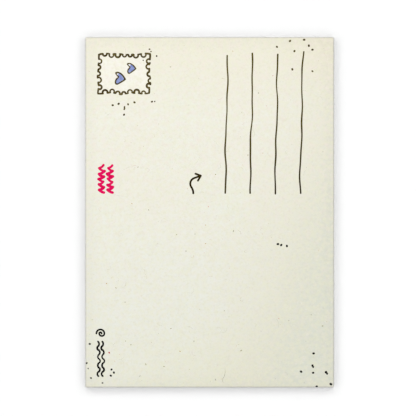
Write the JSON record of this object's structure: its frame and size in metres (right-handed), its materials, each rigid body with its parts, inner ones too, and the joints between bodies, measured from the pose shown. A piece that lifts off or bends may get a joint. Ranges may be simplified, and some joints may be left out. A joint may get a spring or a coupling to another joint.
{
  "type": "postcard",
  "caption": "Rectangular postcard of layered recycled board, with a printed picture side and a writing side that has a stamp box, address lines and ink specks.",
  "frame": {"origin": "middle of the picture side, which lies on the table", "axes": "+X along the card's width, +Y along its length, +Z out of the writing side; the card is read with its -X edge at the top"},
  "size_m": [0.105, 0.148, 0.0004],
  "materials": {
    "board_liner": "uncoated, matt",
    "board_core": "cut fibres, matt",
    "picture_ink": "matt print",
    "brown_ink": "matt print",
    "blue_ink": "matt print",
    "pink_ink": "matt print",
    "black_ink": "matt print"
  },
  "bodies": {
    "root": {"back_liner": "board_liner", "front_liner": "board_liner", "board_core": "board_core", "picture_print": "picture_ink", "address_line_1": "brown_ink", "address_line_2": "brown_ink", "address_line_3": "brown_ink", "address_line_4": "brown_ink", "address_arrow": "brown_ink", "stamp_frame": "brown_ink", "heart_line_1": "brown_ink", "heart_line_2": "brown_ink", "specks_top_right": "brown_ink", "specks_beside_stamp": "brown_ink", "specks_below_stamp": "brown_ink", "heart_fill_1": "blue_ink", "heart_fill_2": "blue_ink", "pink_line_1": "pink_ink", "pink_line_2": "pink_ink", "black_spiral": "black_ink", "black_line_1": "black_ink", "black_line_2": "black_ink", "specks_below_address": "black_ink", "specks_lower_left": "black_ink", "specks_lower_right": "black_ink"}
  },
  "joints": []
}
